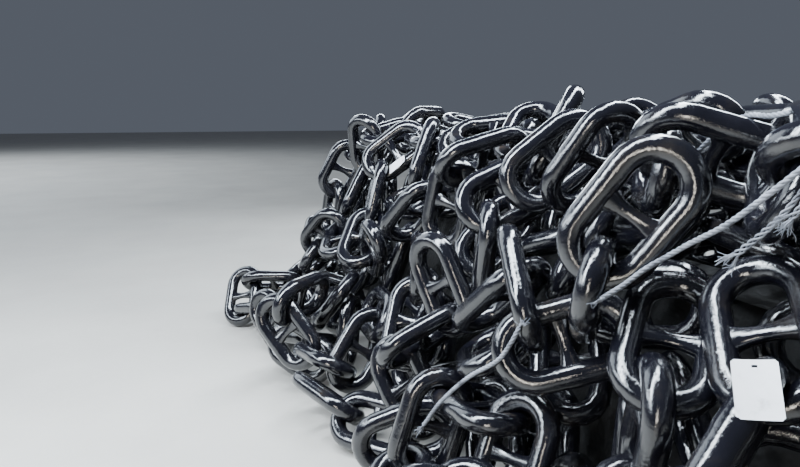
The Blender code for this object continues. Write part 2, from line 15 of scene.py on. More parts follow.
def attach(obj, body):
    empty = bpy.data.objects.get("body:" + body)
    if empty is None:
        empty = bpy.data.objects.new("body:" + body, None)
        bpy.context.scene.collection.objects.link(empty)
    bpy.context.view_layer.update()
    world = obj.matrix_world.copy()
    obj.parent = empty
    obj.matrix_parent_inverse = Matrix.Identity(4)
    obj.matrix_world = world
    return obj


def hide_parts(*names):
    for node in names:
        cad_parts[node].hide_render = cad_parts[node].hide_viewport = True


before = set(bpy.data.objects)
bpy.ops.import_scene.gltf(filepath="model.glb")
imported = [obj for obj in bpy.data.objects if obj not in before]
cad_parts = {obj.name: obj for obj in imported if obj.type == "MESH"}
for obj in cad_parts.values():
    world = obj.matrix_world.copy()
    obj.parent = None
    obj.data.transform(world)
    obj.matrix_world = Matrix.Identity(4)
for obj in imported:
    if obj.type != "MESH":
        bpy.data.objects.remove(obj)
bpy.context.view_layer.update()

# Sizes of the mound and of what lies on it in metres, as in the solids
BAR = 0.081
CORE_WIDTH = 2.30
CORE_LENGTH = 5.30
CORE_HEIGHT = 1.34
HEAP_TOP = 1.63
ROPE_DIAMETER = 0.016
WIRE_DIAMETER = 0.004
HALF_WIDTH = CORE_WIDTH / 2
HALF_RIDGE = (CORE_LENGTH - CORE_WIDTH) / 2

# Swellings and hollows of the mound: place, height and reach
SWELLINGS = (
    (-0.42, -1.40, 0.09, 0.35),
    (-0.62, -2.00, 0.24, 0.32),
    (-0.86, -0.40, -0.10, 0.30),
    (-0.60, -0.56, -0.06, 0.30),
)

# Proportions of a studded link, in bar diameters
BEND_RADIUS = 1.3
HALF_STRAIGHT = 1.2
STUD_WAIST = 0.27
STUD_WAIST_HEIGHT = 0.19
STUD_REACH = 0.88
STUD_FLARE = 0.20
STUD_FLARE_HEIGHT = 0.10
STUD_FLARE_POWER = 2.2
STUD_FULLNESS = 0.02
STUD_ROUNDNESS = 0.8
WELD_BEAD = 0.022
WELD_REACH = 0.10
JOINT_BITE = 0.06
# From the middle of the bar that a link hangs on to the middle of that link
NEXT_MIDDLE = HALF_STRAIGHT + BEND_RADIUS - 1 + JOINT_BITE

# How a new link may lie, in bar diameters. The top layer has depth 0.
CLEAR_OF_MOUND = 0.55
CLEAR_OF_FLOOR = 0.52
CLEAR_OF_LINKS = 0.97
CLEAR_IN_JOINT = 0.86
CLEAR_OF_SOFT = 0.64
TOP_LAYER_RISE = 4.8
LOWER_LAYER_RISE = 2.6
FOOT_REACH = 1.24
NEIGHBOURS_WITHIN = 9
CROWD_REACH = 2.6

# How near two measures of the solids are to be taken as the same, in metres, how square a
# corner has to be and how far two links' middles are apart at least
SAME_LENGTH = 6e-5
SQUARE_WITHIN = 0.01
LINKS_APART = 0.02

# Where the photograph was taken from, which way it looks and its lens, in metres, degrees
# and millimetres. Links within these distances of it are laid with more care.
VIEW_POINT = np.array((-2.03, -2.80, 1.56))
VIEW_RIGHT = (0.927, -0.376, 0)
VIEW_LEVEL = (0.376, 0.927, 0)
VIEW_DOWN = 10.8
VIEW_LENS = 27.9
VIEW_SENSOR = 36
VIEW_END = 200
SHOWN_WITHIN = 2.6
DENSE_WITHIN = 3.0


# Camera

def set_camera():
    right = Vector(VIEW_RIGHT).normalized()
    level = Vector(VIEW_LEVEL).normalized()
    pitch = math.radians(VIEW_DOWN)
    view = level * math.cos(pitch) - Vector((0, 0, 1)) * math.sin(pitch)
    up = Vector((0, 0, 1)) * math.cos(pitch) + level * math.sin(pitch)
    turned = Matrix((right, up, -view)).transposed().to_4x4()
    turned.translation = Vector(VIEW_POINT)
    data = bpy.data.cameras.new("camera")
    data.sensor_width = VIEW_SENSOR
    data.lens = VIEW_LENS
    data.clip_end = VIEW_END
    camera = bpy.data.objects.new("camera", data)
    camera.matrix_world = turned
    bpy.context.scene.collection.objects.link(camera)
    bpy.context.scene.camera = camera


set_camera()


# Node helpers for materials

def new_material(name):
    made = bpy.data.materials.new(name)
    made.use_nodes = True
    tree = made.node_tree
    return made, tree, tree.nodes["Principled BSDF"]


def object_coords(tree):
    return tree.nodes.new("ShaderNodeTexCoord").outputs["Object"]


def noise(tree, coords, scale, detail=4.0, roughness=0.5, distortion=0.0):
    node = tree.nodes.new("ShaderNodeTexNoise")
    node.inputs["Scale"].default_value = scale
    node.inputs["Detail"].default_value = detail
    node.inputs["Roughness"].default_value = roughness
    node.inputs["Distortion"].default_value = distortion
    tree.links.new(coords, node.inputs["Vector"])
    return node.outputs["Fac"]


def ramp(tree, fac, stops):
    """Colours at places along a factor from 0 to 1."""
    node = tree.nodes.new("ShaderNodeValToRGB")
    line = node.color_ramp
    while len(line.elements) < len(stops):
        line.elements.new(0.5)
    for element, (at, colour) in zip(line.elements, stops):
        element.position = at
        element.color = (*colour, 1)
    tree.links.new(fac, node.inputs["Fac"])
    return node.outputs["Color"]


def spread(tree, fac, low, high, out_low, out_high):
    """A factor's range from low to high, spread over another range."""
    node = tree.nodes.new("ShaderNodeMapRange")
    node.inputs["From Min"].default_value = low
    node.inputs["From Max"].default_value = high
    node.inputs["To Min"].default_value = out_low
    node.inputs["To Max"].default_value = out_high
    tree.links.new(fac, node.inputs["Value"])
    return node.outputs["Result"]


def bump(tree, height, strength, distance, normal=None):
    node = tree.nodes.new("ShaderNodeBump")
    node.inputs["Strength"].default_value = strength
    node.inputs["Distance"].default_value = distance
    tree.links.new(height, node.inputs["Height"])
    if normal is not None:
        tree.links.new(normal, node.inputs["Normal"])
    return node.outputs["Normal"]


def black_paint():
    """Bitumen paint: near black and wet looking, with sags, brush marks and thin brown places."""
    made, tree, shader = new_material("bitumen_paint")
    coords = object_coords(tree)
    wide = noise(tree, coords, scale=8, detail=5, roughness=0.6)
    sags = noise(tree, coords, scale=38, detail=4, roughness=0.55, distortion=0.6)
    fine = noise(tree, coords, scale=110, detail=5, roughness=0.65, distortion=0.4)
    grain = noise(tree, coords, scale=300, detail=3, roughness=0.7)
    colour = ramp(tree, wide, [
        (0.30, (0.003, 0.003, 0.005)),
        (0.55, (0.006, 0.006, 0.009)),
        (0.70, (0.014, 0.012, 0.012)),
        (0.84, (0.034, 0.023, 0.016)),
    ])
    tree.links.new(colour, shader.inputs["Base Color"])
    rough = spread(tree, fine, low=0.34, high=0.70, out_low=0.03, out_high=0.17)
    tree.links.new(rough, shader.inputs["Roughness"])
    shader.inputs["IOR"].default_value = 1.56
    shader.inputs["Specular IOR Level"].default_value = 0.6
    shader.inputs["Coat Weight"].default_value = 0.35
    shader.inputs["Coat Roughness"].default_value = 0.04
    normal = bump(tree, wide, strength=0.4, distance=0.003)
    normal = bump(tree, sags, strength=0.5, distance=0.0021, normal=normal)
    normal = bump(tree, fine, strength=0.5, distance=0.0008, normal=normal)
    normal = bump(tree, grain, strength=0.4, distance=0.0003, normal=normal)
    tree.links.new(normal, shader.inputs["Normal"])
    tree.links.new(normal, shader.inputs["Coat Normal"])
    return made


def painted_shade_inside():
    """Painted shade: unlit paint deep between the links, near black and matte."""
    made, tree, shader = new_material("hidden_dark")
    coords = object_coords(tree)
    patches = noise(tree, coords, scale=14, detail=4)
    colour = ramp(tree, patches, [(0.3, (0.002, 0.002, 0.002)), (0.8, (0.007, 0.006, 0.006))])
    tree.links.new(colour, shader.inputs["Base Color"])
    lumps = noise(tree, coords, scale=8, detail=3)
    tree.links.new(bump(tree, lumps, strength=0.9, distance=0.05), shader.inputs["Normal"])
    shader.inputs["Roughness"].default_value = 0.7
    return made


PAINT = black_paint()
PAINTED_SHADE = painted_shade_inside()


# Meshes

def new_mesh(name, verts, faces, look, smooth=True):
    mesh = bpy.data.meshes.new(name)
    mesh.from_pydata([tuple(map(float, v)) for v in verts], [], faces)
    mesh.materials.append(look)
    if smooth:
        mesh.shade_smooth()
    obj = bpy.data.objects.new(name, mesh)
    bpy.context.scene.collection.objects.link(obj)
    return obj


def link_form(sides, cuts, straight_cuts):
    """A round link in bar diameters: the bar once round, with its weld bead, and the stud."""
    stations = []
    for end in (1, -1):
        for k in range(cuts + 1):
            turn = math.pi * (k / cuts - 0.5)
            way = (end * math.cos(turn), end * math.sin(turn))
            x = end * HALF_STRAIGHT + BEND_RADIUS * way[0]
            stations.append((x, BEND_RADIUS * way[1], way, 0.5))
        for k in range(1, straight_cuts + 1):
            x = end * HALF_STRAIGHT * (1 - 2 * k / (straight_cuts + 1))
            bead = WELD_BEAD * math.exp(-((x / WELD_REACH) ** 2)) if end == 1 else 0
            stations.append((x, end * BEND_RADIUS, (0, end), 0.5 + bead))
    verts, faces = [], []
    for x, y, (wx, wy), radius in stations:
        for k in range(sides):
            turn = 2 * math.pi * k / sides
            out = radius * math.cos(turn)
            verts.append((x + out * wx, y + out * wy, radius * math.sin(turn)))
    count = len(stations)
    for s in range(count):
        a, b = s * sides, (s + 1) % count * sides
        for k in range(sides):
            n = (k + 1) % sides
            faces.append((a + k, b + k, b + n, a + n))
    round_sides = max(8, sides * 3 // 4)
    rings = 9 if sides > 12 else 5
    first = len(verts)
    for r in range(rings):
        y = -STUD_REACH + 2 * STUD_REACH * r / (rings - 1)
        flare = abs(y / STUD_REACH) ** STUD_FLARE_POWER
        half_x = STUD_WAIST + STUD_FLARE * flare
        half_z = STUD_WAIST_HEIGHT + STUD_FULLNESS + STUD_FLARE_HEIGHT * flare
        for k in range(round_sides):
            turn = 2 * math.pi * (k + 0.5) / round_sides
            cx, cz = math.cos(turn), math.sin(turn)
            x = half_x * math.copysign(abs(cx) ** STUD_ROUNDNESS, cx)
            z = half_z * math.copysign(abs(cz) ** STUD_ROUNDNESS, cz)
            verts.append((x, y, z))
    for r in range(rings - 1):
        a = first + r * round_sides
        b = a + round_sides
        for k in range(round_sides):
            n = (k + 1) % round_sides
            faces.append((a + k, b + k, b + n, a + n))
    return np.array(verts), faces


def links_mesh(name, poses, form, look):
    """One mesh of all the links at these poses."""
    local, polygons = form
    verts, faces = [], []
    for centre, along, across in poses:
        turned = np.stack([along, across, np.cross(along, across)], axis=1)
        start = len(verts)
        verts.extend(local * BAR @ turned.T + centre)
        faces.extend(tuple(start + k for k in p) for p in polygons)
    return new_mesh(name, verts, faces, look)


# Where the solids' links lie

def link_places(node):
    """Poses of a node's links, read from the rectangles at the waists of their studs."""
    points = np.empty(len(node.data.vertices) * 3)
    node.data.vertices.foreach_get("co", points)
    points = np.unique(np.round(points.reshape(-1, 3), 5), axis=0)
    wide, high = 2 * STUD_WAIST * BAR, 2 * STUD_WAIST_HEIGHT * BAR
    apart = np.linalg.norm(points[:, None] - points[None], axis=2)
    found = []
    for i, at in enumerate(points):
        for j in np.where(np.abs(apart[i] - wide) < SAME_LENGTH)[0]:
            for k in np.where(np.abs(apart[i] - high) < SAME_LENGTH)[0]:
                fourth = points[j] + points[k] - at
                if np.linalg.norm(points - fourth, axis=1).min() > SAME_LENGTH:
                    continue
                along, normal = (points[j] - at) / wide, (points[k] - at) / high
                if abs(along @ normal) > SQUARE_WITHIN:
                    continue
                centre = (points[j] + points[k]) / 2
                if all(np.linalg.norm(centre - c) > LINKS_APART for c, _, _ in found):
                    across = np.cross(normal, along)
                    found.append((centre, along, across / np.linalg.norm(across)))
    return found


runs = {
    name: link_places(node) for name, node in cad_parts.items()
    if name.startswith("chain_run")
}


# Further links, grown in layers over the mound, where the solids have a plain core

def mound_height(x, y):
    """Height of the solids' core over a place on the floor."""
    beyond = np.maximum(np.abs(y) - HALF_RIDGE, 0)
    away = np.sqrt(x * x + beyond * beyond) / HALF_WIDTH
    sway = 1 + 0.04 * y / HALF_RIDGE + 0.02 * np.sin(2.3 * y + 1.0) * np.cos(2.0 * x)
    t = np.clip(1.25 * (1 - away), 0, 1)
    height = CORE_HEIGHT * sway * t * t * (3 - 2 * t)
    for at_x, at_y, rise, reach in SWELLINGS:
        near = np.exp(-((x - at_x) ** 2 + (y - at_y) ** 2) / reach**2)
        height = height + rise * near * np.clip(6 * (1 - away), 0, 1)
    return height


def height_at(x, y):
    return float(mound_height(np.float64(x), np.float64(y)))


def mound_slope(x, y):
    """The mound's height and its slope along X and along Y."""
    step = 0.01
    h = mound_height(x, y)
    return h, (mound_height(x + step, y) - h) / step, (mound_height(x, y + step) - h) / step


def mound_clearance(points):
    """How far points are outside the mound, square to its surface."""
    h, dx, dy = mound_slope(points[..., 0], points[..., 1])
    return (points[..., 2] - h) / np.sqrt(1 + dx * dx + dy * dy)


def link_samples():
    """Points on the middle line of a link's bar and stud, in the link's plane."""
    points = []
    for end in (1, -1):
        for k in range(13):
            turn = math.pi * (k / 12 - 0.5)
            x = end * (HALF_STRAIGHT + BEND_RADIUS * math.cos(turn))
            points.append((x, end * BEND_RADIUS * math.sin(turn)))
        for k in range(1, 7):
            points.append((end * HALF_STRAIGHT * (1 - 2 * k / 7), end * BEND_RADIUS))
    for k in range(1, 6):
        points.append((0, BEND_RADIUS * (1 - 2 * k / 6)))
    return np.array(points) * BAR


SAMPLES = link_samples()


def points_of(centres, alongs, acrosses):
    """The sample points of each link of these poses."""
    return (centres[:, None, :] + SAMPLES[None, :, :1] * alongs[:, None, :]
            + SAMPLES[None, :, 1:] * acrosses[:, None, :])


class Heap:
    """The links laid so far, with the link points and the soft parts that stay in sight."""

    def __init__(self):
        self.centres = np.zeros((0, 3))
        self.points = np.zeros((0, len(SAMPLES), 3))
        self.shown = np.zeros((0, 3))
        self.soft = np.zeros((0, 3))

    def add(self, centre, points):
        self.centres = np.concatenate([self.centres, [centre]])
        self.points = np.concatenate([self.points, [points]])
        return len(self.centres) - 1

    def near(self, place, reach, left_out=None):
        """Points of the links round a place, without the link that holds the new one."""
        close = np.linalg.norm(self.centres - place, axis=1) < reach
        if left_out is not None:
            close[left_out] = False
        return self.points[close].reshape(-1, 3)


def least_distance(points, others):
    """Each link's least distance from the other points."""
    if not len(others):
        return np.full(len(points), np.inf)
    flat = points.reshape(-1, 3)
    square = (flat**2).sum(1)[:, None] + (others**2).sum(1)[None, :] - 2 * flat @ others.T
    return np.sqrt(np.maximum(square, 0)).min(1).reshape(len(points), -1).min(1)


def next_poses(pose, rng):
    """Ways for the next link to hang on this one: bent in its plane, out of it, and rolled."""
    centre, along, across = pose
    normal = np.cross(along, across)
    bend_centre = centre + HALF_STRAIGHT * BAR * along
    centres, alongs, acrosses = [], [], []
    for bend in (-75, -45, -15, 15, 45, 75):
        for lift in (-70, -40, -12, 12, 40, 70):
            a = math.radians(bend + rng.uniform(-12, 12))
            b = math.radians(lift + rng.uniform(-12, 12))
            in_plane = math.cos(a) * along + math.sin(a) * across
            way = math.cos(b) * in_plane + math.sin(b) * normal
            middle = bend_centre + BEND_RADIUS * BAR * in_plane + NEXT_MIDDLE * BAR * way
            tangent = -math.sin(a) * along + math.cos(a) * across
            for roll in (-20, 20):
                c = math.radians(roll + rng.uniform(-12, 12))
                side = np.cross(tangent, way)
                side = math.cos(c) * side + math.sin(c) * np.cross(way, side)
                centres.append(middle)
                alongs.append(way)
                acrosses.append(side / np.linalg.norm(side))
    return np.array(centres), np.array(alongs), np.array(acrosses)


def first_poses(x, y, depth, rng):
    """Ways to lay a link over a place on the floor, at a depth in bar diameters."""
    h, dx, dy = (float(v) for v in mound_slope(np.float64(x), np.float64(y)))
    up = np.array((-dx, -dy, 1.0)) / math.sqrt(1 + dx * dx + dy * dy)
    level = np.cross(up, (0, 1.0, 0))
    level /= np.linalg.norm(level)
    steep = np.cross(up, level)
    centres, alongs, acrosses = [], [], []
    for _ in range(90):
        a = rng.uniform(0, 2 * math.pi)
        tilt = math.radians(rng.uniform(-35, 35))
        roll = math.radians(rng.choice((-1, 1)) * rng.uniform(10, 80))
        along = math.cos(tilt) * (math.cos(a) * level + math.sin(a) * steep) + math.sin(tilt) * up
        side = np.cross(up, along)
        side /= np.linalg.norm(side)
        centres.append(np.array([x, y, h]) + up * BAR * (rng.uniform(0.6, 3.0) - depth))
        alongs.append(along)
        acrosses.append(math.cos(roll) * side + math.sin(roll) * np.cross(along, side))
    return np.array(centres), np.array(alongs), np.array(acrosses)


def allowed(points, heap, place, depth, held_by=None):
    """Clear of the other links, no deeper than this and, in the top layer, not too far out."""
    clearance = mound_clearance(points)
    clear = clearance.min(1) > (CLEAR_OF_MOUND - depth) * BAR
    clear &= clearance.max(1) < (LOWER_LAYER_RISE if depth else TOP_LAYER_RISE) * BAR
    beyond = np.maximum(np.abs(points[..., 1]) - HALF_RIDGE, 0)
    clear &= np.hypot(points[..., 0], beyond).max(1) < FOOT_REACH * HALF_WIDTH
    clear &= points[..., 2].min(1) > CLEAR_OF_FLOOR * BAR
    clear &= points[..., 2].max(1) < HEAP_TOP
    good = np.where(clear)[0]
    if len(good):
        links = heap.near(place, NEIGHBOURS_WITHIN * BAR, held_by)
        good = good[least_distance(points[good], links) > CLEAR_OF_LINKS * BAR]
    if len(good):
        good = good[least_distance(points[good], heap.soft) > CLEAR_OF_SOFT * BAR]
    if len(good) and not depth:
        good = good[hiding(points[good], heap.soft[::3], 0) == 0]
    return good


def hiding(points, shown, margin=0.8):
    """How many points of each link stand before these places, as seen from the view point."""
    rays = points[:, ::2].reshape(-1, 3) - VIEW_POINT
    away = np.linalg.norm(rays, axis=1)
    behind = shown - VIEW_POINT
    behind_away = np.linalg.norm(behind, axis=1)
    level = (rays / away[:, None]) @ (behind / behind_away[:, None]).T
    before = (1 - level) * 2 * away[:, None] ** 2 < BAR**2
    before &= away[:, None] < behind_away[None, :] - margin * BAR
    return before.any(1).reshape(len(points), -1).sum(1)


def cost(centres, points, heap, rng):
    """Low for a link close to the mound, where few other links are."""
    away = np.linalg.norm(centres[:, None] - heap.centres[None], axis=2)
    crowd = np.exp(-((away / (CROWD_REACH * BAR)) ** 2)).sum(1)
    lift = np.abs(mound_clearance(points).mean(1) / BAR)
    price = 0.6 * lift + 0.8 * crowd + np.array([rng.uniform(0, 0.8) for _ in centres])
    if np.linalg.norm(centres[0] - VIEW_POINT) < SHOWN_WITHIN:
        price += 0.7 * hiding(points, heap.shown)
    return price


def emptiest_place(heap, places, depth, rng):
    """Of some places on the mound, and for the top layer also round its foot, the emptiest."""
    # Places on the side away from the view point count less, and those near to it count more
    farthest = 1.1 * HALF_WIDTH
    best, place = -1, (0.0, 0.0)
    for _ in range(places):
        x = farthest * rng.uniform(-1, 1)
        y = (HALF_RIDGE + farthest) * rng.uniform(-1, 1)
        z = height_at(x, y)
        too_low = depth and z < 0.03
        if too_low or math.hypot(x, max(0, abs(y) - HALF_RIDGE)) > farthest:
            continue
        spot = np.array([x, y, z])
        away = np.linalg.norm(heap.centres - spot, axis=1).min()
        away *= 0.75 if x > 0.35 else 1
        away *= 1.4 if np.linalg.norm(spot - VIEW_POINT) < DENSE_WITHIN else 1
        if away > best:
            best, place = away, (x, y)
    return place


def grow(heap, depth, links, longest, seed):
    """Poses of a layer's links, laid in runs no longer than this on its emptiest places."""
    rng = random.Random(seed)
    layer = Heap()
    poses = []

    def lay(choice, points, good):
        best = good[np.argmin(cost(choice[0][good], points[good], heap, rng))]
        pose = tuple(part[best] for part in choice)
        layer.add(pose[0], points[best])
        poses.append(pose)
        return pose, heap.add(pose[0], points[best])

    tries = 0
    while len(poses) < links and tries < 3 * links:
        tries += 1
        if depth:
            known = layer if len(layer.centres) else heap
            x, y = emptiest_place(known, PLACES_TRIED, depth, rng)
        else:
            x, y = emptiest_place(heap, TOP_PLACES_TRIED, depth, rng)
        starts = first_poses(x, y, depth, rng)
        points = points_of(*starts)
        good = allowed(points, heap, starts[0].mean(0), depth)
        if not len(good):
            layer.add(np.array([x, y, height_at(x, y)]), points[0])
            continue
        pose, number = lay(starts, points, good)
        for _ in range(longest - 1):
            choice = next_poses(pose, rng)
            points = points_of(*choice)
            good = allowed(points, heap, pose[0], depth, number)
            if len(good):
                apart = least_distance(points[good], heap.points[number])
                good = good[apart > CLEAR_IN_JOINT * BAR]
            if not len(good):
                break
            pose, number = lay(choice, points, good)
    return poses


def inner_mound(depth, foot, top):
    """A closed mound in painted shade inside the links, from foot to top in shares of the half
    width.
    """
    around, rings = 72, 14
    verts, faces = [], []
    for ring in range(rings):
        away = HALF_WIDTH * (foot - (foot - top) * ring / (rings - 1))
        for k in range(around):
            turn = 2 * math.pi * (k + 0.5) / around
            x = away * math.cos(turn)
            y = away * math.sin(turn) + math.copysign(HALF_RIDGE, math.sin(turn))
            h, dx, dy = (float(v) for v in mound_slope(np.float64(x), np.float64(y)))
            lean = math.sqrt(1 + dx * dx + dy * dy)
            place = np.array([x, y, h]) - depth * np.array([-dx, -dy, 1]) / lean
            place[2] = max(place[2], INNER_FLOOR_GAP)
            verts.append(place)
    for ring in range(rings - 1):
        for k in range(around):
            a, b = ring * around + k, ring * around + (k + 1) % around
            faces.append((a, b, b + around, a + around))
    faces.append(tuple(reversed(range(around))))
    faces.append(tuple(range((rings - 1) * around, rings * around)))
    return new_mesh("inner_mound", verts, faces, PAINTED_SHADE)


FINE = link_form(sides=20, cuts=12, straight_cuts=5)
PLAIN = link_form(sides=12, cuts=8, straight_cuts=1)

# Layers from the top down: name, depth in bar diameters, links, longest run, seed and form
LAYERS = (
    ("links_over", 0, 84, 4, 10, FINE),
    ("links_under", 1.9, 150, 5, 11, PLAIN),
    ("links_deep", 3.6, 130, 5, 12, PLAIN),
)
PLACES_TRIED = 160
TOP_PLACES_TRIED = 14
INNER_DEPTH = 4.6 * BAR
INNER_FLOOR_GAP = 0.002

heap = Heap()
tree_verts, tree_faces = [], []
for name, run in runs.items():
    centres, alongs, acrosses = (np.array(part) for part in zip(*run))
    for centre, points in zip(centres, points_of(centres, alongs, acrosses)):
        heap.add(centre, points)
    piece = links_mesh("links_" + name[-2:], run, FINE, PAINT)
    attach(piece, "root")
    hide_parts(name)
    start = len(tree_verts)
    tree_verts.extend(v.co for v in piece.data.vertices)
    tree_faces.extend(tuple(start + k for k in p.vertices) for p in piece.data.polygons)
LINKS_TREE = BVHTree.FromPolygons(tree_verts, tree_faces)

near_points = heap.points.reshape(-1, 3)[::2]
heap.shown = near_points[np.linalg.norm(near_points - VIEW_POINT, axis=1) < SHOWN_WITHIN]
for name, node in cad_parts.items():
    if name.startswith(("rope", "wire", "tag")):
        places = [node.matrix_world @ v.co for v in node.data.vertices]
        heap.soft = np.concatenate([heap.soft, places])
for name, depth, links, longest, seed, form in LAYERS:
    piece = links_mesh(name, grow(heap, depth, links, longest, seed), form, PAINT)
    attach(piece, "root")
    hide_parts("core")
# A near-black mound under the deepest links: painted shade that shows through their gaps
inner = inner_mound(INNER_DEPTH, foot=0.82, top=0.04)
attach(inner, "root")
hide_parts("core")


# Ropes, wire and tags

def tube_line(name, diameter):
    """The line of a solid tube, read from the rings of points along it."""
    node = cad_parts[name]
    points = np.unique(np.round([tuple(v.co) for v in node.data.vertices], 5), axis=0)
    left = list(range(len(points)))
    rings = []
    while left:
        ring, edge = [], [left.pop()]
        while edge:
            at = edge.pop()
            ring.append(at)
            reach = 0.6 * diameter
            near = [k for k in left if np.linalg.norm(points[k] - points[at]) < reach]
            left = [k for k in left if k not in near]
            edge.extend(near)
        rings.append(points[ring].mean(0))
    rings = np.array(rings)
    apart = np.linalg.norm(rings[:, None] - rings[None], axis=2)
    step = np.sort(apart, axis=1)[:, 1].max()
    ends = np.where((apart < 1.5 * step).sum(1) == 2)[0]
    here = ends[np.argmin(rings[ends][:, 1])]
    line = [rings[here]]
    unused = set(range(len(rings))) - {here}
    while unused:
        here = min(unused, key=lambda k: apart[here, k])
        unused.remove(here)
        line.append(rings[here])
    return np.array(line)


def lengths_along(line):
    """How far along the line each of its points is."""
    return np.concatenate([[0], np.cumsum(np.linalg.norm(np.diff(line, axis=0), axis=1))])


def smooth_line(points, spacing):
    """Points evenly spaced along a smooth curve through the given ones."""
    ends = [2 * np.array(points[0]) - np.array(points[1]), *map(np.array, points)]
    ends.append(2 * np.array(points[-1]) - np.array(points[-2]))
    fine = []
    for a, b, c, d in zip(ends, ends[1:], ends[2:], ends[3:]):
        for t in np.linspace(0, 1, 10, endpoint=False):
            square = (2 * a - 5 * b + 4 * c - d) * t**2
            cube = (3 * b - a - 3 * c + d) * t**3
            fine.append(0.5 * (2 * b + (c - a) * t + square + cube))
    fine.append(np.array(points[-1]))
    fine = np.array(fine)
    along = lengths_along(fine)
    at = np.linspace(0, along[-1], max(4, round(along[-1] / spacing)))
    return np.stack([np.interp(at, along, fine[:, k]) for k in range(3)], axis=1)


def frames_along(line):
    """Tangent and two sideways directions at each point, carried along with no twist."""
    tangents = np.gradient(line, axis=0)
    tangents /= np.linalg.norm(tangents, axis=1)[:, None]
    side = np.cross(tangents[0], (0, 0, 1.0))
    if np.linalg.norm(side) < 0.1:
        side = np.cross(tangents[0], (1.0, 0, 0))
    sides = []
    for tangent in tangents:
        side = side - (side @ tangent) * tangent
        side = side / np.linalg.norm(side)
        sides.append(side)
    sides = np.array(sides)
    return tangents, sides, np.cross(tangents, sides)


def tube_mesh(verts, faces, line, radii, sides):
    """Adds a closed tube round the line to the lists."""
    _, right, up = frames_along(line)
    start = len(verts)
    for place, a, b, radius in zip(line, right, up, radii):
        for k in range(sides):
            turn = 2 * math.pi * k / sides
            verts.append(place + radius * (math.cos(turn) * a + math.sin(turn) * b))
    for s in range(len(line) - 1):
        for k in range(sides):
            n = (k + 1) % sides
            at = start + s * sides
            faces.append((at + k, at + n, at + sides + n, at + sides + k))
    faces.append(tuple(start + k for k in reversed(range(sides))))
    faces.append(tuple(len(verts) - sides + k for k in range(sides)))


def stranded(name, points, diameter, strands, pitch, strand_share, look, sides=8):
    """Strands twisted round the line, with their pitch and radius in its diameters."""
    line = smooth_line(points, pitch * diameter / 10)
    _, right, up = frames_along(line)
    along = lengths_along(line)
    verts, faces = [], []
    radius = strand_share * diameter
    for s in range(strands):
        turn = 2 * math.pi * (along / (pitch * diameter) + s / strands)
        aside = np.cos(turn)[:, None] * right + np.sin(turn)[:, None] * up
        strand = line + (diameter / 2 - radius) * aside
        tube_mesh(verts, faces, strand, [radius] * len(strand), sides)
    return new_mesh(name, verts, faces, look)


def rope_look():
    """Worn laid rope, grey with a bluish cast, darkened by paint here and there."""
    made, tree, shader = new_material("worn_rope")
    coords = object_coords(tree)
    wide = noise(tree, coords, scale=22, detail=4, roughness=0.6)
    fine = noise(tree, coords, scale=900, detail=3, roughness=0.7)
    base = ramp(tree, wide, [
        (0.28, (0.06, 0.06, 0.07)),
        (0.45, (0.22, 0.235, 0.27)),
        (0.70, (0.36, 0.38, 0.43)),
    ])
    threads = ramp(tree, fine, [(0.3, (0.55, 0.55, 0.55)), (0.7, (1, 1, 1))])
    # A mix node's first colours are its inputs 6 and 7, and its colour is output 2
    mixed = tree.nodes.new("ShaderNodeMix")
    mixed.data_type = "RGBA"
    mixed.blend_type = "MULTIPLY"
    mixed.inputs[0].default_value = 0.8
    tree.links.new(base, mixed.inputs[6])
    tree.links.new(threads, mixed.inputs[7])
    tree.links.new(mixed.outputs[2], shader.inputs["Base Color"])
    shader.inputs["Roughness"].default_value = 0.85
    tree.links.new(bump(tree, fine, strength=0.8, distance=0.0008), shader.inputs["Normal"])
    return made


def wire_look():
    """Bare steel wire with dull places."""
    made, tree, shader = new_material("tie_wire_metal")
    coords = object_coords(tree)
    dull = noise(tree, coords, scale=60, detail=4)
    colour = ramp(tree, dull, [(0.3, (0.30, 0.30, 0.32)), (0.7, (0.62, 0.63, 0.66))])
    tree.links.new(colour, shader.inputs["Base Color"])
    rough = spread(tree, dull, low=0.3, high=0.7, out_low=0.25, out_high=0.5)
    tree.links.new(rough, shader.inputs["Roughness"])
    shader.inputs["Metallic"].default_value = 1.0
    return made


def tag_look():
    """Blank white tag board with faint smudges."""
    made, tree, shader = new_material("white_tag_board")
    coords = object_coords(tree)
    wide = noise(tree, coords, scale=26, detail=5, roughness=0.6)
    base = ramp(tree, wide, [
        (0.28, (0.58, 0.58, 0.60)),
        (0.42, (0.78, 0.79, 0.82)),
        (0.70, (0.84, 0.85, 0.88)),
    ])
    tree.links.new(base, shader.inputs["Base Color"])
    shader.inputs["Roughness"].default_value = 0.55
    waves = noise(tree, coords, scale=14, detail=3)
    tree.links.new(bump(tree, waves, strength=0.4, distance=0.003), shader.inputs["Normal"])
    return made


ROPE_LOOK = rope_look()
WIRE_LOOK = wire_look()
TAG_LOOK = tag_look()

# A rope's lay: its strands, then their pitch and radius in rope diameters
ROPE_LAY = (3, 3.2, 0.27)
WIRE_LAY = (2, 4.0, 0.25)
# Sizes of the frayed ends, tails and knot in metres, and the seeds of their yarns
YARN_RADIUS = 0.0013
FRAY_FAN = 0.3
FRAY_SEED = 3
TAIL_SEED = 31
TAIL_STRANDS = 3
TAIL_STRAND_RADIUS = 0.0027
TAIL_PITCH = 0.060
TAIL_STEP = 0.006
TAIL_CLEAR = 0.009
KNOT_SIZE = 0.0082
KNOT_OUT = 0.012


def before_links(place, margin):
    """The place, brought toward the view point until it is clear in front of the links."""
    way = place - VIEW_POINT
    away = np.linalg.norm(way)
    way = way / away
    nearest = away
    for aside in ((0, 0, 0), (margin, 0, 0), (-margin, 0, 0), (0, 0, margin), (0, 0, -margin)):
        *_, reached = LINKS_TREE.ray_cast(Vector(VIEW_POINT + np.array(aside)), Vector(way))
        if reached is not None:
            nearest = min(nearest, reached - margin)
    return VIEW_POINT + way * nearest


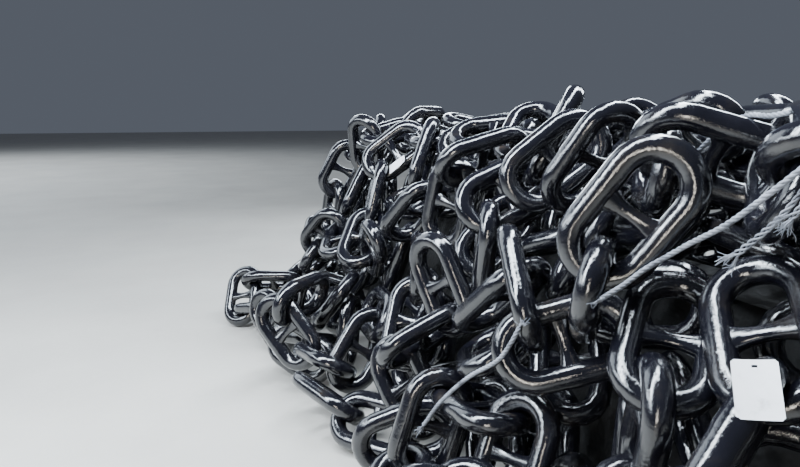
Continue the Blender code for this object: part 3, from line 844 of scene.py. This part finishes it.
def yarns(verts, faces, tip, way, count, reach, fan, rng):
    """Adds loose yarns to the lists, which fan out from a cut end, wave and droop."""
    way = np.array(way) / np.linalg.norm(way)
    for _ in range(count):
        aim = way + fan * np.array([rng.gauss(0, 1) for _ in range(3)])
        aim /= np.linalg.norm(aim)
        size = reach * rng.uniform(0.45, 1)
        droop = rng.uniform(0.0, 0.35)
        start = tip + 0.003 * np.array([rng.uniform(-1, 1) for _ in range(3)])
        wave = 0.11 * np.array([rng.gauss(0, 1) for _ in range(3)])
        turns = rng.uniform(3.5, 8)
        line, radii = [], []
        for k in range(9):
            t = k / 8
            bent = way * (1 - t) + aim * t
            fall = np.array((0, 0, droop)) * t * t
            line.append(start + size * (bent * t + wave * math.sin(turns * t) * t - fall))
            radii.append(YARN_RADIUS * (1 - 0.5 * k / 8))
        tube_mesh(verts, faces, np.array(line), radii, 5)


def frayed(name, tip, way, count, reach, seed):
    """The loose yarns at a rope's end as a piece."""
    verts, faces = [], []
    yarns(verts, faces, np.array(tip), way, count, reach, FRAY_FAN, random.Random(seed))
    return new_mesh(name, verts, faces, ROPE_LOOK)


def tail(name, points, share, drop, seed):
    """An unlaid end that hangs from the rope's knot, down beside the rope, and fans out.

    It reaches along this share of the rope and hangs below it by the drop.
    """
    rng = random.Random(seed)
    last = max(2, round(share * (len(points) - 1)))
    stem = []
    for k in range(9):
        t = k / 8
        on_rope = points[0] + (points[last] - points[0]) * t ** 1.6
        fallen = on_rope - np.array((0, 0, drop * math.sin(0.5 * math.pi * t ** 0.8)))
        stem.append(before_links(fallen, TAIL_CLEAR))
    stem = smooth_line(stem, TAIL_STEP)
    _, right, up = frames_along(stem)
    along = lengths_along(stem)
    verts, faces = [], []
    for s in range(TAIL_STRANDS):
        turn = 2 * math.pi * (along / TAIL_PITCH + s / TAIL_STRANDS)
        off = 0.0030 + 0.0035 * along / along[-1]
        aside = np.cos(turn)[:, None] * right + np.sin(turn)[:, None] * up
        strand = stem + off[:, None] * aside
        tube_mesh(verts, faces, strand, [TAIL_STRAND_RADIUS] * len(strand), 7)
        way = strand[-1] - strand[-4]
        yarns(verts, faces, strand[-1], way, count=11, reach=0.046, fan=0.22, rng=rng)
    return new_mesh(name, verts, faces, ROPE_LOOK)


def knotted(name, place, facing, size):
    """A rope drawn into a threefold knot that faces this way."""
    facing = np.array(facing) / np.linalg.norm(facing)
    right = np.cross((0, 0, 1.0), facing)
    right /= np.linalg.norm(right)
    up = np.cross(facing, right)
    line = []
    for k in range(37):
        t = 2 * math.pi * k / 36
        x = math.sin(t) + 2 * math.sin(2 * t)
        y = math.cos(t) - 2 * math.cos(2 * t)
        z = -math.sin(3 * t)
        line.append(place + size * (x * right + 0.85 * y * up + z * facing))
    return stranded(name, line, ROPE_DIAMETER, *ROPE_LAY, ROPE_LOOK)


def lay_rope(name, frays, tails=()):
    """A rope with the pieces on it, laid along its solid.

    Each fray is at the rope's end or else its start, with its reach and number of yarns. Each
    tail hangs from a knot at the start, with its share of the rope and its drop.
    """
    points = tube_line(name, ROPE_DIAMETER)
    pieces = []
    for at_end, reach, count in frays:
        tip, before = (points[-1], points[-3]) if at_end else (points[0], points[2])
        yarns_name = f"{name}_yarns_{int(at_end)}"
        seed = FRAY_SEED + at_end
        pieces.append(frayed(yarns_name, tip, tip - before, count, reach, seed))
    for number, (share, drop) in enumerate(tails):
        pieces.append(tail(f"{name}_tail_{number}", points, share, drop, TAIL_SEED + number))
    if tails:
        facing = VIEW_POINT - points[0]
        facing /= np.linalg.norm(facing)
        place = points[0] + KNOT_OUT * facing
        pieces.append(knotted(name + "_knot", place, facing, KNOT_SIZE))
    rope = stranded(name + "_laid", points, ROPE_DIAMETER, *ROPE_LAY, ROPE_LOOK)
    for piece in (rope, *pieces):
        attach(piece, "root")
        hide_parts(name)


lay_rope("rope_long", [(True, 0.035, 12)], [(0.34, 0.095), (0.10, 0.100)])
lay_rope("rope_crest", [(True, 0.05, 20)])
lay_rope("rope_low", [(True, 0.05, 22), (False, 0.05, 22)])

wire_line = tube_line("wire_far_tag", WIRE_DIAMETER)
wire = stranded(
    "wire_far_tag_twisted", wire_line, WIRE_DIAMETER, *WIRE_LAY, WIRE_LOOK, sides=6)
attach(wire, "root")
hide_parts("wire_far_tag")


# Tags

# How much of its solid a tag fills, where its rounded corners begin and how far they go in
TAG_SHARE = 0.98
TAG_CORNER_FROM = 0.93
TAG_CORNER_PULL = 0.6
TAG_HALF_THICKNESS = 0.0004


def tag_piece(name, curl, dog_ear):
    """A thin board with rounded corners and an eyelet hole, bowed about its long side.

    The curl and the rise of the bent corner are in metres.
    """
    solid = np.array([v.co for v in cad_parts[name].data.vertices])
    corners = np.unique(np.round(solid, 5), axis=0)
    middle = corners.mean(0)
    from_middle = corners - middle
    tall, wide, thin = np.linalg.svd(from_middle)[2]
    if tall[2] < 0:
        tall = -tall
    thin = np.cross(wide, tall)
    if thin @ (VIEW_POINT - middle) < 0:
        wide, thin = -wide, -thin
    half_tall = abs(from_middle @ tall).max()
    half_wide = abs(from_middle @ wide).max()
    across, up_cuts = 16, 22
    verts, faces = [], []
    for side in (1, -1):
        for i in range(up_cuts + 1):
            for j in range(across + 1):
                u, v = 2 * j / across - 1, 2 * i / up_cuts - 1
                x, y = u * half_wide * TAG_SHARE, v * half_tall * TAG_SHARE
                # Corners rounded by pulling the outer points in
                corner = max(0, abs(x) + abs(y) - (half_wide + half_tall) * TAG_CORNER_FROM)
                x -= math.copysign(corner * TAG_CORNER_PULL, x)
                y -= math.copysign(corner * TAG_CORNER_PULL, y)
                bow = curl * (u * u - 0.5) + 0.35 * curl * math.sin(2.2 * v + 0.7)
                ear = dog_ear * max(0, u + v - 1.1) ** 1.5
                out = bow + ear + side * TAG_HALF_THICKNESS
                verts.append(middle + x * wide + y * tall + out * thin)
    count = (up_cuts + 1) * (across + 1)
    hole = {(up_cuts - 3, across // 2 - 1), (up_cuts - 3, across // 2)}
    edges = []
    for i in range(up_cuts):
        for j in range(across):
            if (i, j) in hole:
                continue
            a = i * (across + 1) + j
            quad = (a, a + 1, a + across + 2, a + across + 1)
            faces.append(quad)
            faces.append(tuple(count + k for k in reversed(quad)))
            edges += zip(quad, quad[1:] + quad[:1])
    # An edge that no other face shares, round the board or its hole, gets a face to the back
    shared = set(edges)
    faces += [(q, p, count + p, count + q) for p, q in edges if (q, p) not in shared]
    piece = new_mesh(name + "_board", verts, faces, TAG_LOOK, smooth=False)
    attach(piece, "root")
    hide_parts(name)


tag_piece("tag_upper", curl=0.004, dog_ear=0.02)
tag_piece("tag_lower", curl=0.003, dog_ear=0.0)
tag_piece("tag_far", curl=0.003, dog_ear=0.01)


# Floor and light

def floor_look():
    """Pale worn concrete."""
    made, tree, shader = new_material("pale_floor")
    coords = object_coords(tree)
    wide = noise(tree, coords, scale=0.8, detail=5, roughness=0.6)
    fine = noise(tree, coords, scale=30, detail=5, roughness=0.6)
    colour = ramp(tree, wide, [(0.3, (0.42, 0.40, 0.37)), (0.7, (0.50, 0.48, 0.44))])
    tree.links.new(colour, shader.inputs["Base Color"])
    rough = spread(tree, fine, low=0.3, high=0.7, out_low=0.5, out_high=0.7)
    tree.links.new(rough, shader.inputs["Roughness"])
    tree.links.new(bump(tree, fine, strength=0.2, distance=0.002), shader.inputs["Normal"])
    return made


FLOOR_REACH = 60.0
COOL = (0.80, 0.90, 1.0)
WARM = (1.0, 0.93, 0.82)
# Lamps: name, place, what it shines at, width, height, power in watts and colour
LAMPS = (
    ("roof_left", (-3.2, -0.6, 4.2), (-0.4, -0.8, 0.8), 0.85, 4.5, 700, COOL),
    ("roof_middle", (0.3, -0.4, 4.8), (0, -0.6, 0.8), 0.6, 4.5, 480, COOL),
    ("roof_right", (3.2, 0.6, 4.4), (0, -0.2, 0.8), 0.6, 4.5, 260, COOL),
    ("wall_left", (-6.0, 0.8, 2.7), (-0.5, -0.4, 0.6), 5.0, 0.8, 240, COOL),
    ("window_back", (1.5, 6.5, 3.4), (-0.2, 0, 0.9), 4.0, 1.2, 260, COOL),
    ("far_floor", (-8.0, 16.0, 7.0), (-5.0, 15.0, 0), 16.0, 14.0, 2600, COOL),
    ("front_low", (-4.6, -4.6, 1.6), (-0.5, -1.0, 0.7), 0.5, 1.8, 80, WARM),
)
HALL_COLOUR = (0.44, 0.50, 0.62, 1)
HALL_BRIGHTNESS = 0.22


def set_floor():
    size = FLOOR_REACH
    verts = [(-size, -size, 0), (size, -size, 0), (size, size, 0), (-size, size, 0)]
    floor = new_mesh("floor", verts, [(0, 1, 2, 3)], floor_look(), smooth=False)


def area_light(name, place, aim, width, height, power, colour):
    """A rectangular lamp that shines at a point."""
    data = bpy.data.lights.new(name, "AREA")
    data.shape = "RECTANGLE"
    data.size = width
    data.size_y = height
    data.energy = power
    data.color = colour
    lamp = bpy.data.objects.new(name, data)
    way = Vector(aim) - Vector(place)
    lamp.rotation_euler = way.to_track_quat("-Z", "Y").to_euler()
    lamp.location = place
    bpy.context.scene.collection.objects.link(lamp)


def set_light():
    for lamp in LAMPS:
        area_light(*lamp)
    world = bpy.data.worlds.new("hall")
    world.use_nodes = True
    back = world.node_tree.nodes["Background"]
    back.inputs["Color"].default_value = HALL_COLOUR
    back.inputs["Strength"].default_value = HALL_BRIGHTNESS
    bpy.context.scene.world = world


set_floor()
set_light()
